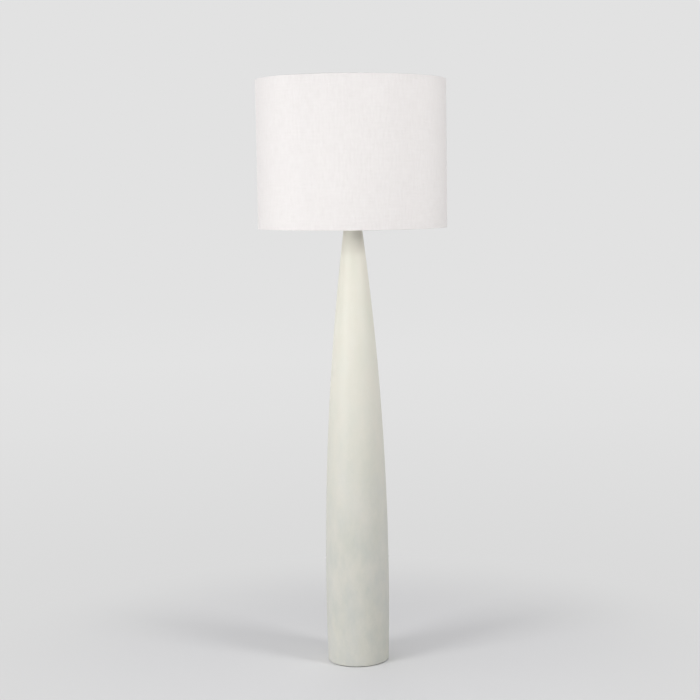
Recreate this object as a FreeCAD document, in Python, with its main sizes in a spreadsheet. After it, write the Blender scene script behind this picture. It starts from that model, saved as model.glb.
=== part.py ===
import FreeCAD, Part
import math
import os
import re
import Sketcher

# Column floor lamp, in millimetres.
# Origin: centre of the foot, on the floor. +Z up the column, -Y towards the front of the lamp.
# The column, lamp holder, bulb and shade share the Z axis. The cord inlet is at the back, on +Y.

doc = FreeCAD.newDocument("column_floor_lamp")
sizes = doc.addObject("Spreadsheet::Sheet", "Sizes")

SIZES = {
    # foot
    "pad_thickness": 2.0,
    "pad_inset": 3.5,
    "plate_thickness": 4.0,
    "plate_ledge": 2.4,
    "plate_clearance": 0.2,
    "ballast_height": 45.0,
    "ballast_clearance": 0.4,
    "ballast_well_radius": 26.0,
    "channel_width": 14.0,
    "channel_height": 24.0,
    "base_screw_circle": 50.0,
    "base_screw_radius": 2.5,
    "base_screw_head_radius": 5.0,
    "base_screw_head": 2.5,
    "base_screw_length": 16.0,
    # column: its side is one arc, widest at the belly and narrowest at the neck
    "column_height": 1166.0,
    "column_wall": 7.0,
    "belly_radius": 84.8,
    "belly_height": 215.0,
    "neck_radius": 24.3,
    # cord inlet
    "inlet_height": 18.0,
    "inlet_bore_radius": 3.5,
    "grommet_radius": 6.0,
    "grommet_flange_radius": 7.5,
    "grommet_flange": 2.0,
    "grommet_tail": 1.0,
    # terminal block in the foot
    "block_width": 18.0,
    "block_depth": 17.0,
    "block_height": 12.0,
    "block_back": 2.0,
    "way_spacing": 9.0,
    "way_radius": 1.8,
    "way_height": 5.0,
    "way_screw_radius": 1.5,
    "way_screw_spacing": 9.0,
    "way_screw_sink": 0.8,
    # lead inside the column
    "lead_wall": 0.4,
    "core_clearance": 0.25,
    "core_radius": 1.1,
    "core_spacing": 2.5,
    "core_grip": 5.0,
    "core_bend_radius": 6.0,
    "lead_offset": 18.0,
    "lead_start": 60.0,
    "lead_lean_start": 95.0,
    "lead_lean_end": 160.0,
    "lead_bend_radius": 60.0,
    # neck
    "cap_flange": 3.0,
    "cap_inset": 0.5,
    "cap_spigot": 10.0,
    "cap_clearance": 0.3,
    "tube_wall": 1.5,
    "tube_clearance": 0.2,
    "lead_clearance": 0.5,
    "tube_tail": 2.0,
    "tube_reach": 6.0,
    "nut_flats": 14.0,
    "nut_thickness": 4.0,
    "washer_radius": 9.0,
    "washer_thickness": 1.5,
    # lamp holder
    "dome_radius": 20.5,
    "dome_height": 33.0,
    "dome_wall": 2.0,
    "dome_floor": 3.0,
    "dome_boss_radius": 9.5,
    "dome_boss_height": 5.0,
    "dome_shoulder": 15.0,
    "insert_clearance": 0.3,
    "insert_depth": 6.0,
    "insert_flange": 2.0,
    "insert_flange_inset": 1.3,
    "insert_boss": 2.0,
    "insert_boss_rim": 1.0,
    "skirt_radius": 19.8,
    "skirt_wall": 2.4,
    "skirt_height": 33.0,
    "seat_radius": 26.5,
    "seat_height": 5.0,
    "seat_thickness": 2.5,
    "socket_bore_radius": 13.5,
    "socket_wall": 0.5,
    "socket_height": 23.0,
    "contact_radius": 4.0,
    "contact_height": 2.5,
    "terminal_spacing": 18.0,
    "terminal_radius": 1.6,
    "terminal_head_radius": 2.4,
    "terminal_head": 2.0,
    "terminal_depth": 4.0,
    "core_rise": 3.0,
    "core_spread": 8.0,
    "holder_bend_radius": 4.0,
    # push bar switch
    "bar_height": 20.0,
    "bar_radius": 2.5,
    "bar_clearance": 0.1,
    "bar_travel": 6.0,
    "knob_radius": 4.0,
    "knob_length": 4.5,
    "knob_gap": 0.5,
    # shade
    "shade_diameter": 500.0,
    "shade_height": 387.0,
    "fabric_thickness": 0.5,
    "liner_thickness": 0.5,
    "hem_thickness": 0.5,
    "hem_outer": 3.5,
    "hem_inner": 9.0,
    "wire_radius": 1.5,
    "spider_rise": 47.1,
    "fitter_radius": 36.0,
    "fitter_thickness": 1.5,
    "fitter_clearance": 0.6,
    "fitter_play": 0.1,
    "arm_radius": 2.0,
    "arm_gap": 1.0,
    "arm_level": 22.0,
    "arm_rim": 25.0,
    "arm_bend_radius": 25.0,
    # ring that clamps the shade
    "ring_clearance": 0.3,
    "ring_radius": 25.5,
    "ring_height": 8.0,
    "ring_lip_radius": 28.0,
    "ring_lip": 2.0,
    "flute_radius": 1.6,
    # bulb
    "bulb_length": 110.0,
    "bulb_gap": 0.3,
    "tip_radius": 4.6,
    "tip_height": 2.0,
    "insulator_height": 4.0,
    "bulb_cap_clearance": 0.5,
    "bulb_cap_height": 21.0,
    "bulb_cap_wall": 0.5,
    "collar_radius": 14.5,
    "collar_wall": 1.3,
    "globe_radius": 30.0,
    "globe_drop": 19.0,
    "globe_wall": 1.2,
    "board_thickness": 1.6,
    "board_ledge": 1.2,
    "board_clearance": 0.2,
}

SCREW_COUNT = 3
ARM_COUNT = 3
FLUTE_COUNT = 24
FLUTE_OFFSET = 0.7      # a flute's centre stands outside the ring by this share of its radius

for row, (alias, number) in enumerate(SIZES.items(), start=1):
    sizes.set(f"A{row}", alias)
    sizes.set(f"B{row}", str(number))
    sizes.setAlias(f"B{row}", alias)
doc.recompute()

# Heights and radii that follow from the sizes, each an expression on the sheet.
PLACES = {
    "plate_bottom": "pad_thickness",
    "plate_top": "plate_bottom + plate_thickness",
    "column_top": "pad_thickness + column_height",
    "neck_narrowing": "belly_radius - neck_radius",
    "column_arc_radius": "((column_top - belly_height)^2 + neck_narrowing^2) / (2 * neck_narrowing)",
    "arc_centre": "belly_radius - column_arc_radius",
    "inner_arc_radius": "column_arc_radius - column_wall",
    "rebate_radius": "inner_foot_radius + plate_ledge",
    "foot_radius": "arc_centre + sqrt(column_arc_radius^2 - (pad_thickness - belly_height)^2)",
    "inner_foot_radius": "arc_centre + sqrt(inner_arc_radius^2 - (plate_top - belly_height)^2)",
    "inner_neck_radius": "arc_centre + sqrt(inner_arc_radius^2 - (column_top - belly_height)^2)",
    "inlet_face": "arc_centre + sqrt(column_arc_radius^2 - (inlet_height - belly_height)^2)",
    "inlet_inside": "inlet_face - column_wall - grommet_tail",
    "flange_top": "inlet_height + grommet_flange_radius",
    "flange_seat": "arc_centre + sqrt(column_arc_radius^2 - (flange_top - belly_height)^2)",
    "way_level": "plate_top + way_height",
    "lead_radius": "core_spacing / 2 + core_radius + core_clearance + lead_wall",
    "tube_bore_radius": "lead_radius + lead_clearance",
    "tube_radius": "tube_bore_radius + tube_wall",
    "tube_hole_radius": "tube_radius + tube_clearance",
    "cap_bottom": "column_top - cap_spigot",
    "cap_top": "column_top + cap_flange",
    "lock_nut_bottom": "cap_bottom - nut_thickness",
    "neck_nut_bottom": "cap_top + washer_thickness",
    "holder_bottom": "neck_nut_bottom + nut_thickness",
    "holder_split": "holder_bottom + dome_height",
    "insert_bottom": "holder_split - insert_depth",
    "insert_radius": "dome_radius - dome_wall - insert_clearance",
    "insert_flange_radius": "dome_radius - insert_flange_inset",
    "socket_radius": "socket_bore_radius + socket_wall",
    "socket_bottom": "holder_split + insert_flange + insert_boss",
    "terminal_bottom": "insert_bottom - terminal_head",
    "bar_level": "holder_bottom + bar_height",
    "bar_reach": "dome_radius + knob_gap + bar_travel / 2",
    "bar_rest": "0 - bar_travel / 2",
    "seat_bottom": "holder_split + seat_height",
    "seat_top": "seat_bottom + seat_thickness",
    "fitter_bottom": "seat_top + fitter_play",
    "fitter_hole_radius": "skirt_radius + fitter_clearance",
    "fitter_top": "fitter_bottom + fitter_thickness",
    "ring_bottom": "fitter_top + fitter_play",
    "arm_start": "ring_lip_radius + arm_gap",
    "ring_bore_radius": "skirt_radius + ring_clearance",
    "shade_bottom": "fitter_bottom - spider_rise",
    "shade_top": "shade_bottom + shade_height",
    "shade_radius": "shade_diameter / 2",
    "fabric_radius": "shade_radius - hem_thickness",
    "liner_radius": "fabric_radius - fabric_thickness",
    "liner_bore_radius": "liner_radius - liner_thickness",
    "wire_circle": "liner_bore_radius - wire_radius",
    "hem_bore_radius": "wire_circle - wire_radius",
    "wire_inset": "hem_thickness + wire_radius",
    "lower_wire_level": "shade_bottom + wire_inset",
    "upper_wire_level": "shade_top - wire_inset",
    "bulb_bottom": "socket_bottom + contact_height + bulb_gap",
    "insulator_bottom": "bulb_bottom + tip_height",
    "bulb_cap_bottom": "insulator_bottom + insulator_height",
    "bulb_cap_radius": "socket_bore_radius - bulb_cap_clearance",
    "collar_bottom": "bulb_cap_bottom + bulb_cap_height",
    "globe_centre": "bulb_bottom + bulb_length - globe_radius",
    "globe_inner_radius": "globe_radius - globe_wall",
    "globe_mouth": "sqrt(globe_radius^2 - globe_drop^2)",
    "globe_inner_mouth": "sqrt(globe_inner_radius^2 - globe_drop^2)",
    "collar_top": "globe_centre - globe_drop",
    "board_radius": "globe_mouth - collar_wall - board_clearance",
    "board_bottom": "collar_top - board_thickness",
}


def formula(text):
    """Write an expression out in the sheet's own sizes."""
    def expand(found):
        name = found.group(0)
        if name in PLACES:
            return "(" + formula(PLACES[name]) + ")"
        return "Sizes." + name if name in SIZES else name
    return re.sub(r"[a-z_]+", expand, str(text))


def value(text):
    """The number, in millimetres, that an expression gives now."""
    return float(sizes.evalExpression(formula(text)))


pieces = []


def piece(item, label):
    """Name a finished sub-part."""
    item.Label = label
    pieces.append(item)
    return item


# Sketches and turned pieces

def add_body(name, several=False):
    body = doc.addObject("PartDesign::Body", name)
    body.AllowCompound = several
    return body


def add_sketch(body, role, along=None):
    """A sketch on one of the body's own planes, its origin shifted by named expressions."""
    plane = next(item for item in body.Origin.OriginFeatures if item.Role == role)
    sketch = body.newObject("Sketcher::SketchObject", body.Name + "_sketch")
    sketch.AttachmentSupport = [(plane, "")]
    sketch.MapMode = "FlatFace"
    for direction, shift in (along or {}).items():
        sketch.setExpression(f".AttachmentOffset.Base.{direction}", formula(shift))
    return sketch


def hold(sketch, geometry, end, across, up):
    """Fix a point of the sketch at expressions across and up; None leaves that one free."""
    for kind, axis, text in (("DistanceX", -2, across), ("DistanceY", -1, up)):
        if text is None:
            continue
        number = value(text)
        if abs(number) < 1e-9:
            sketch.addConstraint(Sketcher.Constraint("PointOnObject", geometry, end, axis))
            continue
        index = sketch.addConstraint(Sketcher.Constraint(kind, -1, 1, geometry, end, number))
        sketch.setExpression(f"Constraints[{index}]", formula(text))


def set_radius(sketch, geometry, radius):
    index = sketch.addConstraint(Sketcher.Constraint("Radius", geometry, value(radius)))
    sketch.setExpression(f"Constraints[{index}]", formula(radius))


def add_edge(sketch, first, last, arc):
    """Draw one edge; return its number and which of its ends lie at first and last."""
    if arc is None:
        return sketch.addGeometry(Part.LineSegment(first, last)), 1, 2
    across, up, radius, way_round = arc
    centre = FreeCAD.Vector(value(across), value(up), 0)
    starts, ends = (first, last) if way_round == "left" else (last, first)
    angles = [math.atan2(point.y - centre.y, point.x - centre.x) for point in (starts, ends)]
    circle = Part.Circle(centre, FreeCAD.Vector(0, 0, 1), value(radius))
    edge = sketch.addGeometry(Part.ArcOfCircle(circle, *angles))
    hold(sketch, edge, 3, across, up)
    set_radius(sketch, edge, radius)
    return (edge, 1, 2) if way_round == "left" else (edge, 2, 1)


def draw_loop(sketch, corners, arcs=None, free=None):
    """Close a loop through corners given as expressions.

    arcs gives, for the edge that leaves a corner, its centre, radius and way round. An arc already
    sets one coordinate of its ends: across, unless free names the other one.
    """
    arcs = arcs or {}
    free = free or {}
    count = len(corners)
    points = [FreeCAD.Vector(value(across), value(up), 0) for across, up in corners]
    edges = [add_edge(sketch, points[i], points[(i + 1) % count], arcs.get(i)) for i in range(count)]
    for i, (edge, start, end) in enumerate(edges):
        following = edges[(i + 1) % count]
        sketch.addConstraint(Sketcher.Constraint("Coincident", edge, end, following[0], following[1]))
    for i, (across, up) in enumerate(corners):
        on_arc = i in arcs or (i - 1) % count in arcs
        left_out = free.get(i, "across" if on_arc else "")
        hold(sketch, edges[i][0], edges[i][1],
             None if left_out == "across" else across, None if left_out == "up" else up)


def draw_circle(sketch, across, up, radius):
    centre = FreeCAD.Vector(value(across), value(up), 0)
    edge = sketch.addGeometry(Part.Circle(centre, FreeCAD.Vector(0, 0, 1), value(radius)))
    hold(sketch, edge, 3, across, up)
    set_radius(sketch, edge, radius)


def revolve(body, sketch, axis="V_Axis"):
    turn = body.newObject("PartDesign::Revolution", body.Name + "_turn")
    turn.Profile = sketch
    turn.ReferenceAxis = (sketch, [axis])
    turn.Angle = 360
    return turn


def turned(name, corners, arcs=None, free=None, along=None, several=False):
    """A piece turned about Z, or about a parallel axis shifted along X."""
    body = add_body(name, several)
    sketch = add_sketch(body, "XZ_Plane", along)
    draw_loop(sketch, corners, arcs, free)
    revolve(body, sketch)
    return body


def ring(name, bore, radius, bottom, top):
    return turned(name, [(bore, bottom), (radius, bottom), (radius, top), (bore, top)])


def cross_turned(name, level, loops):
    """Pieces turned about a line parallel to Y at a height; corners are (y, distance from it)."""
    body = add_body(name, several=len(loops) > 1)
    for corners in loops:
        sketch = add_sketch(body, "YZ_Plane", {"y": level})
        draw_loop(sketch, corners)
        revolve(body, sketch, "H_Axis")
    return body


def repeat_round(body, feature, count):
    """Repeat a feature of the body around Z."""
    pattern = body.newObject("PartDesign::PolarPattern", body.Name + "_pattern")
    pattern.Originals = [feature]
    pattern.Axis = (next(item for item in body.Origin.OriginFeatures if item.Role == "Z_Axis"), [""])
    pattern.Angle = 360
    pattern.Occurrences = count
    body.Tip = pattern
    return pattern


# Plain solids and cuts

def cylinder(name, radius, length, at, toward="z"):
    """A cylinder from the point at, along +Z or +Y."""
    item = doc.addObject("Part::Cylinder", name)
    item.setExpression("Radius", formula(radius))
    item.setExpression("Height", formula(length))
    if toward == "y":
        item.Placement.Rotation = FreeCAD.Rotation(FreeCAD.Vector(1, 0, 0), -90)
    place(item, at)
    return item


def box(name, size, at):
    item = doc.addObject("Part::Box", name)
    for side, text in zip(("Length", "Width", "Height"), size):
        item.setExpression(side, formula(text))
    place(item, at)
    return item


def place(item, at):
    for direction, text in zip("xyz", at):
        item.setExpression(f".Placement.Base.{direction}", formula(text))


def cut(name, base, *tools):
    """Take one or more solids away from a piece."""
    for number, tool in enumerate(tools, start=1):
        result = doc.addObject("Part::Cut", name if number == len(tools) else f"{name}_cut{number}")
        result.Base = base
        result.Tool = tool
        base = result
    return base


def join(name, items):
    fused = doc.addObject("Part::MultiFuse", name)
    fused.Shapes = items
    return fused


# Bent wires and leads

def rounded_path(points, radius):
    """Straight runs through the points, joined by tangent arcs of one radius."""
    edges = []
    start = points[0]
    for before, corner, after in zip(points, points[1:], points[2:]):
        arriving = (corner - before).normalize()
        leaving = (after - corner).normalize()
        half_turn = arriving.getAngle(leaving) / 2
        setback = radius * math.tan(half_turn)
        inward = (leaving - arriving).normalize()
        middle = corner + inward * (radius / math.cos(half_turn) - radius)
        first = corner - arriving * setback
        last = corner + leaving * setback
        edges.append(Part.LineSegment(start, first).toShape())
        edges.append(Part.Arc(first, middle, last).toShape())
        start = last
    edges.append(Part.LineSegment(start, points[-1]).toShape())
    return Part.Wire(edges)


def rod_along(path, radius):
    """A round rod that follows the path."""
    first = path.Edges[0]
    start = first.valueAt(first.FirstParameter)
    heading = first.tangentAt(first.FirstParameter)
    section = Part.Wire(Part.makeCircle(radius, start, heading))
    return path.makePipeShell([section], True, False)


def feature(name, shape):
    item = doc.addObject("Part::Feature", name)
    item.Shape = shape
    item.Placement = FreeCAD.Placement()
    return item


def spot(across, back, up):
    return FreeCAD.Vector(value(across), value(back), value(up))


# Foot

def make_foot():
    piece(turned("foot_pad", [
        (0, 0), ("foot_radius - pad_inset", 0),
        ("foot_radius - pad_inset", "pad_thickness"), (0, "pad_thickness"),
    ]), "foot_pad")

    screws = turned("base_screws", [
        (0, "plate_bottom"), ("base_screw_head_radius", "plate_bottom"),
        ("base_screw_radius", "plate_bottom + base_screw_head"),
        ("base_screw_radius", "plate_bottom + base_screw_length"),
        (0, "plate_bottom + base_screw_length"),
    ], along={"x": "base_screw_circle"}, several=True)
    repeat_round(screws, screws.Group[-1], SCREW_COUNT)
    piece(screws, "base_screws")

    disc = cylinder("plate_disc", "rebate_radius - plate_clearance", "plate_thickness",
                    (0, 0, "plate_bottom"))
    piece(cut("base_plate", disc, screws), "base_plate")

    casting = cylinder("ballast_casting", "inner_foot_radius - ballast_clearance", "ballast_height",
                       (0, 0, "plate_top"))
    well = cylinder("ballast_well", "ballast_well_radius", "ballast_height", (0, 0, "plate_top"))
    channel = box("ballast_channel", ("channel_width", "inner_foot_radius", "channel_height"),
                  ("0 - channel_width / 2", 0, "plate_top"))
    piece(cut("ballast_weight", casting, well, channel, screws), "ballast_weight")


# Column

def make_column():
    arc = ("arc_centre", "belly_height")
    shell = turned("column_shell", [
        ("foot_radius", "pad_thickness"), ("neck_radius", "column_top"),
        ("inner_neck_radius", "column_top"), ("inner_foot_radius", "plate_top"),
        ("rebate_radius", "plate_top"), ("rebate_radius", "pad_thickness"),
    ], arcs={0: (*arc, "column_arc_radius", "left"), 2: (*arc, "inner_arc_radius", "right")})
    hole = add_sketch(shell, "XZ_Plane")
    draw_circle(hole, 0, "inlet_height", "grommet_radius")
    bore = shell.newObject("PartDesign::Pocket", "inlet_hole")
    bore.Profile = hole
    bore.Type = "ThroughAll"
    piece(shell, "column_shell")

    piece(cross_turned("cord_grommet", "inlet_height", [[
        ("inlet_inside", "inlet_bore_radius"),
        ("flange_seat + grommet_flange", "inlet_bore_radius"),
        ("flange_seat + grommet_flange", "grommet_flange_radius"),
        ("flange_seat", "grommet_flange_radius"),
        ("flange_seat", "grommet_radius"),
        ("inlet_inside", "grommet_radius"),
    ]]), "cord_grommet")


# Terminal block in the foot, and the lead up the column

def make_terminal_block():
    blank = box("block_blank", ("block_width", "block_depth", "block_height"),
                ("0 - block_width / 2", "block_back - block_depth / 2", "plate_top"))
    ways = []
    screws = []
    for side in (-1, 1):
        across = f"{side} * way_spacing / 2"
        ways.append(cylinder("way_hole", "way_radius", "block_depth",
                             (across, "block_back - block_depth / 2", "way_level"), "y"))
        for end in (-1, 1):
            back = f"block_back + {end} * way_screw_spacing / 2"
            screws.append(cylinder("way_screw", "way_screw_radius",
                                   "block_height - way_height - way_radius - way_screw_sink",
                                   (across, back, "way_level + way_radius")))
            ways.append(cylinder("screw_hole", "way_screw_radius", "block_height - way_height",
                                 (across, back, "way_level")))
    piece(cut("terminal_block", blank, join("block_holes", ways)), "terminal_block")
    piece(join("terminal_block_screws", screws), "terminal_block_screws")


def make_lead():
    """A two-core lead from the terminal block to the lamp holder, inside the column."""
    def lead_run(across):
        return [
            spot(across, "0 - lead_offset", "lead_lean_start"),
            spot(across, 0, "lead_lean_end"),
        ]

    def sheath(radius):
        ends = (spot(0, "0 - lead_offset", "lead_start"), spot(0, 0, "holder_bottom + tube_reach"))
        path = rounded_path([ends[0], *lead_run(0), ends[1]], value("lead_bend_radius"))
        return rod_along(path, radius)

    outer = sheath(value("lead_radius"))
    piece(feature("inner_lead", outer.cut(sheath(value("lead_radius - lead_wall")))), "inner_lead")

    for name, side in (("live_core", -1), ("neutral_core", 1)):
        inside = f"{side} * core_spacing / 2"
        block_side = f"{side} * way_spacing / 2"
        holder_side = f"{side} * terminal_spacing / 2"
        middle = spot(inside, 0, "(lead_lean_end + holder_bottom) / 2")
        foot_end = rounded_path([
            spot(block_side, "block_back - block_depth / 2 + core_grip", "way_level"),
            spot(block_side, "0 - lead_offset", "way_level"),
            spot(block_side, "0 - lead_offset", "(way_level + lead_start) / 2"),
            spot(inside, "0 - lead_offset", "lead_start"),
            spot(inside, "0 - lead_offset", "(lead_start + lead_lean_start) / 2"),
        ], value("core_bend_radius"))
        rise = rounded_path([
            spot(inside, "0 - lead_offset", "(lead_start + lead_lean_start) / 2"),
            *lead_run(inside), middle,
        ], value("lead_bend_radius"))
        holder_end = rounded_path([
            middle,
            spot(inside, 0, "holder_bottom + tube_reach + core_rise"),
            spot(holder_side, 0, "holder_bottom + tube_reach + core_rise + core_spread"),
            spot(holder_side, 0, "terminal_bottom"),
        ], value("holder_bend_radius"))
        route = Part.Wire(foot_end.Edges + rise.Edges + holder_end.Edges)
        piece(feature(name, rod_along(route, value("core_radius"))), name)


# Neck

def nut(name, bottom):
    blank = doc.addObject("Part::Prism", name + "_blank")
    blank.Polygon = 6
    blank.setExpression("Circumradius", formula("nut_flats / 2 / cos(30)"))
    blank.setExpression("Height", formula("nut_thickness"))
    place(blank, (0, 0, bottom))
    bore = cylinder(name + "_bore", "tube_radius", "nut_thickness", (0, 0, bottom))
    return piece(cut(name, blank, bore), name)


def make_neck():
    piece(turned("neck_cap", [
        ("tube_hole_radius", "cap_bottom"),
        ("inner_neck_radius - cap_clearance", "cap_bottom"),
        ("inner_neck_radius - cap_clearance", "column_top"),
        ("neck_radius - cap_inset", "column_top"),
        ("neck_radius - cap_inset", "cap_top"),
        ("tube_hole_radius", "cap_top"),
    ]), "neck_cap")
    piece(ring("entry_tube", "tube_bore_radius", "tube_radius",
               "lock_nut_bottom - tube_tail", "holder_bottom + tube_reach"), "entry_tube")
    nut("lock_nut", "lock_nut_bottom")
    piece(ring("neck_washer", "tube_hole_radius", "washer_radius", "cap_top", "neck_nut_bottom"),
          "neck_washer")
    nut("neck_nut", "neck_nut_bottom")


# Lamp holder

def make_holder():
    dome = turned("dome_blank", [
        ("tube_radius", "holder_bottom"),
        ("dome_boss_radius", "holder_bottom"),
        ("dome_boss_radius", "holder_bottom + dome_boss_height"),
        ("dome_radius", "holder_bottom + dome_shoulder"),
        ("dome_radius", "holder_split"),
        ("dome_radius - dome_wall", "holder_split"),
        ("dome_radius - dome_wall", "holder_bottom + dome_shoulder"),
        ("dome_boss_radius - dome_wall", "holder_bottom + dome_boss_height"),
        ("dome_boss_radius - dome_wall", "holder_bottom + dome_floor"),
        ("tube_radius", "holder_bottom + dome_floor"),
    ])
    bar_hole = cylinder("bar_hole", "bar_radius + bar_clearance", "dome_radius * 3",
                        (0, "0 - dome_radius * 3 / 2", "bar_level"), "y")
    piece(cut("holder_dome", dome, bar_hole), "holder_dome")

    screws = turned("terminal_screws", [
        (0, "terminal_bottom"), ("terminal_head_radius", "terminal_bottom"),
        ("terminal_head_radius", "insert_bottom"), ("terminal_radius", "insert_bottom"),
        ("terminal_radius", "insert_bottom + terminal_depth"), (0, "insert_bottom + terminal_depth"),
    ], along={"x": "terminal_spacing / 2"}, several=True)
    repeat_round(screws, screws.Group[-1], 2)
    piece(screws, "terminal_screws")

    insert = turned("insert_blank", [
        (0, "insert_bottom"), ("insert_radius", "insert_bottom"),
        ("insert_radius", "holder_split"), ("insert_flange_radius", "holder_split"),
        ("insert_flange_radius", "holder_split + insert_flange"),
        ("socket_radius + insert_boss_rim", "holder_split + insert_flange"),
        ("socket_radius + insert_boss_rim", "socket_bottom"), (0, "socket_bottom"),
    ])
    piece(cut("holder_insert", insert, screws), "holder_insert")

    piece(turned("holder_skirt", [
        ("insert_flange_radius", "holder_split"), ("dome_radius", "holder_split"),
        ("dome_radius", "seat_bottom"), ("seat_radius", "seat_bottom"),
        ("seat_radius", "seat_top"), ("skirt_radius", "seat_top"),
        ("skirt_radius", "holder_split + skirt_height"),
        ("skirt_radius - skirt_wall", "holder_split + skirt_height"),
        ("skirt_radius - skirt_wall", "holder_split + insert_flange"),
        ("insert_flange_radius", "holder_split + insert_flange"),
    ]), "holder_skirt")
    piece(ring("screw_shell", "socket_bore_radius", "socket_radius",
               "socket_bottom", "socket_bottom + socket_height"), "screw_shell")
    piece(turned("centre_contact", [
        (0, "socket_bottom"), ("contact_radius", "socket_bottom"),
        ("contact_radius", "socket_bottom + contact_height / 2"),
        ("contact_radius / 2", "socket_bottom + contact_height"),
        (0, "socket_bottom + contact_height"),
    ]), "centre_contact")


def make_switch():
    """The bar rests pushed towards the front, and slides back by its travel."""
    piece(cross_turned("switch_bar", "bar_level", [[
        ("bar_rest - bar_reach", 0), ("bar_rest + bar_reach", 0),
        ("bar_rest + bar_reach", "bar_radius"), ("bar_rest - bar_reach", "bar_radius"),
    ]]), "switch_bar")
    knobs = []
    for side in (-1, 1):
        near = f"bar_rest + {side} * bar_reach"
        far = f"bar_rest + {side} * (bar_reach + knob_length)"
        knobs.append([(near, 0), (far, 0), (far, "knob_radius"), (near, "knob_radius")])
    piece(cross_turned("switch_knobs", "bar_level", knobs), "switch_knobs")


def make_shade_ring():
    body = turned("shade_ring", [
        ("ring_bore_radius", "ring_bottom"), ("ring_lip_radius", "ring_bottom"),
        ("ring_lip_radius", "ring_bottom + ring_lip"), ("ring_radius", "ring_bottom + ring_lip"),
        ("ring_radius", "ring_bottom + ring_height"), ("ring_bore_radius", "ring_bottom + ring_height"),
    ])
    flute = add_sketch(body, "XY_Plane", {"z": "ring_bottom + ring_lip"})
    draw_circle(flute, f"ring_radius + {FLUTE_OFFSET} * flute_radius", 0, "flute_radius")
    groove = body.newObject("PartDesign::Pocket", "flute")
    groove.Profile = flute
    groove.Reversed = True
    groove.setExpression("Length", formula("ring_height"))
    doc.recompute()
    repeat_round(body, groove, FLUTE_COUNT)
    piece(body, "shade_ring")


# Shade

def hem_profile(edge, inward):
    """The linen turned round the wire, from the outside to the inside of the rim."""
    def level(depth):
        return f"{edge} {inward} {depth}"
    return [
        ("shade_radius", edge), ("shade_radius", level("hem_outer")),
        ("fabric_radius", level("hem_outer")), ("fabric_radius", level("hem_thickness")),
        ("hem_bore_radius", level("hem_thickness")), ("hem_bore_radius", level("hem_inner")),
        ("hem_bore_radius - hem_thickness", level("hem_inner")),
        ("hem_bore_radius - hem_thickness", edge),
    ]


def wire_ring(name, level):
    body = add_body(name)
    sketch = add_sketch(body, "XZ_Plane")
    draw_circle(sketch, "wire_circle", level, "wire_radius")
    revolve(body, sketch)
    return piece(body, name)


def make_shade():
    for name, radius, bore in (("shade_fabric", "fabric_radius", "liner_radius"),
                               ("shade_liner", "liner_radius", "liner_bore_radius")):
        piece(ring(name, bore, radius, "shade_bottom + hem_thickness", "shade_top - hem_thickness"),
              name)
    lower_wire = wire_ring("lower_wire_ring", "lower_wire_level")
    wire_ring("upper_wire_ring", "upper_wire_level")
    piece(ring("fitter_ring", "fitter_hole_radius", "fitter_radius", "fitter_bottom", "fitter_top"),
          "fitter_ring")

    arm_path = rounded_path([
        spot("arm_start", 0, "fitter_top + arm_radius"),
        spot("arm_start + arm_level", 0, "fitter_top + arm_radius"),
        spot("wire_circle - arm_rim", 0, "lower_wire_level"),
        spot("wire_circle", 0, "lower_wire_level"),
    ], value("arm_bend_radius"))
    arm = rod_along(arm_path, value("arm_radius"))
    arms = []
    for number in range(ARM_COUNT):
        turn = FreeCAD.Rotation(FreeCAD.Vector(0, 0, 1), 360 / ARM_COUNT * number - 90)
        arms.append(arm.transformGeometry(FreeCAD.Placement(FreeCAD.Vector(), turn).toMatrix()))
    wires = feature("arm_wires", Part.makeCompound(arms))
    spider = piece(cut("spider_arms", wires, lower_wire), "spider_arms")

    lower_hem = turned("lower_hem_band", hem_profile("shade_bottom", "+"))
    piece(cut("lower_hem", lower_hem, spider), "lower_hem")
    piece(turned("upper_hem", hem_profile("shade_top", "-")), "upper_hem")


# Bulb

def make_bulb():
    piece(turned("bulb_tip", [
        (0, "bulb_bottom"), ("tip_radius / 2", "bulb_bottom"),
        ("tip_radius", "bulb_bottom + tip_height / 2"), ("tip_radius", "insulator_bottom"),
        (0, "insulator_bottom"),
    ]), "bulb_tip")
    piece(turned("bulb_insulator", [
        (0, "insulator_bottom"), ("tip_radius", "insulator_bottom"),
        ("bulb_cap_radius", "bulb_cap_bottom"), (0, "bulb_cap_bottom"),
    ]), "bulb_insulator")
    piece(ring("bulb_cap", "bulb_cap_radius - bulb_cap_wall", "bulb_cap_radius",
               "bulb_cap_bottom", "collar_bottom"), "bulb_cap")
    piece(turned("bulb_collar", [
        (0, "collar_bottom"), ("collar_radius", "collar_bottom"), ("globe_mouth", "collar_top"),
        ("globe_mouth - collar_wall", "collar_top"),
        ("globe_mouth - collar_wall", "board_bottom"),
        ("board_radius - board_ledge", "board_bottom"),
        ("collar_radius - collar_wall", "collar_bottom + collar_wall"),
        (0, "collar_bottom + collar_wall"),
    ]), "bulb_collar")
    piece(turned("led_board", [
        (0, "board_bottom"), ("board_radius", "board_bottom"),
        ("board_radius", "collar_top"), (0, "collar_top"),
    ]), "led_board")
    piece(turned("bulb_globe", [
        ("globe_mouth", "collar_top"), (0, "globe_centre + globe_radius"),
        (0, "globe_centre + globe_inner_radius"), ("globe_inner_mouth", "collar_top"),
    ], arcs={0: (0, "globe_centre", "globe_radius", "left"),
             2: (0, "globe_centre", "globe_inner_radius", "right")},
        free={1: "up", 2: "up"}), "bulb_globe")


make_foot()
make_column()
make_terminal_block()
make_lead()
make_neck()
make_holder()
make_switch()
make_shade_ring()
make_shade()
make_bulb()
doc.recompute()

# Every object must be sound before anything is written.
for item in doc.Objects:
    faults = {"Invalid", "Error"} & set(item.State)
    if faults:
        raise RuntimeError(f"{item.Name}: {sorted(faults)}")
for item in pieces:
    if item.Shape.isNull() or not item.Shape.isValid() or not item.Shape.Solids:
        raise RuntimeError(f"{item.Label}: no sound solid")

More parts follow.
